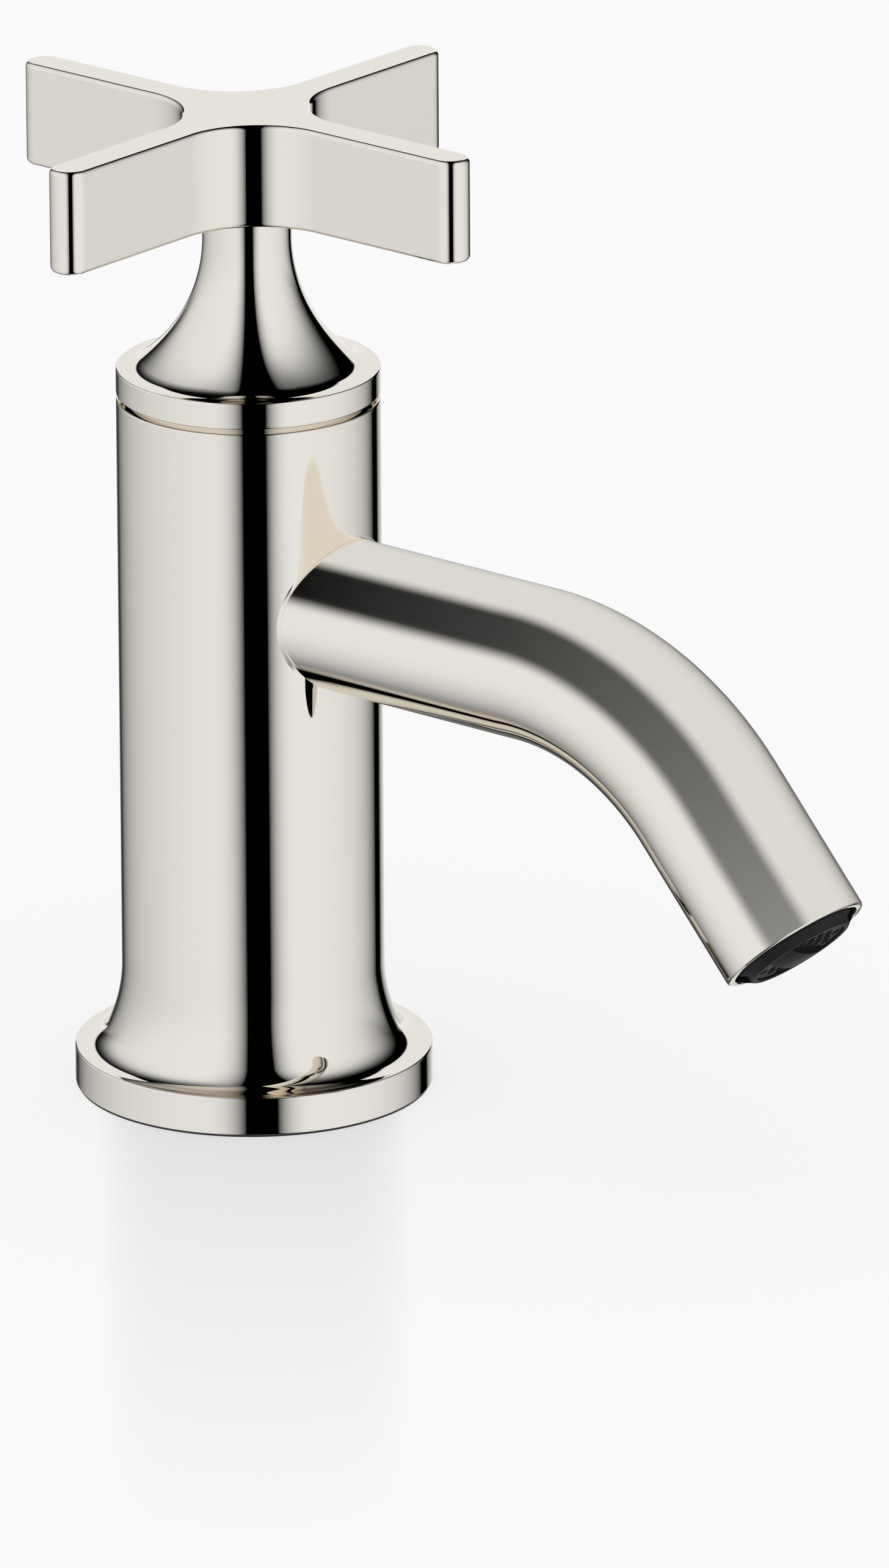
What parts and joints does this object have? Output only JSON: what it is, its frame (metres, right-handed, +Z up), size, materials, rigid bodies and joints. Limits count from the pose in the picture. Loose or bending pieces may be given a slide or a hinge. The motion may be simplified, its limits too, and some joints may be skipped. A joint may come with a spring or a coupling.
{
  "type": "basin pillar tap",
  "caption": "Polished basin pillar tap with a cross handle on a flared neck, a bent tube spout with an aerator, and a threaded tail with its washers and backnut.",
  "frame": {"origin": "on the tap's vertical axis, in the plane of the deck that the base seal rests on", "axes": "+Z up along the axis that the handle turns about, -Y along the spout towards the user, +X to the user's right when the user faces the tap"},
  "size_m": [0.0862, 0.1583, 0.2093],
  "materials": {
    "polished_nickel": "mirror-polished warm nickel plate",
    "brass": "machined",
    "steel": "machined stainless",
    "black_plastic": "matt moulded",
    "white_plastic": "matt moulded",
    "rubber": "matt black",
    "fibre": "matt red-brown sealing fibre",
    "ceramic": "lapped"
  },
  "bodies": {
    "tap": {"body_column": "polished_nickel", "base_seal": "rubber", "spout_tube": "polished_nickel", "spout_spigot": "brass", "aerator_housing": "black_plastic", "outlet_screen": "black_plastic", "flow_regulator": "white_plastic", "regulator_ring": "rubber", "inlet_strainer": "white_plastic", "aerator_seal": "rubber", "headwork_body": "brass", "headwork_o_ring": "rubber", "seat_seal": "rubber", "fixed_disc": "ceramic", "brake_ring": "white_plastic", "gap_sleeve": "polished_nickel", "glide_ring": "white_plastic", "threaded_shank": "brass", "shank_seal": "fibre", "rubber_washer": "rubber", "metal_washer": "steel", "backnut": "brass"},
    "handle": {"handle_cross": "polished_nickel", "handle_neck": "polished_nickel", "cross_screw": "steel", "cross_dowels": "steel", "spline_adapter": "brass", "adapter_screw": "steel", "grub_screw": "steel", "spindle": "brass", "spindle_o_rings": "rubber", "circlip": "steel", "moving_disc": "ceramic"}
  },
  "joints": [
    {"name": "handle_turn", "type": "hinge", "parent": "tap", "child": "handle", "pos_m": [0, 0, 0.11], "axis": [0, 0, 1], "range_deg": [0, 90]}
  ]
}
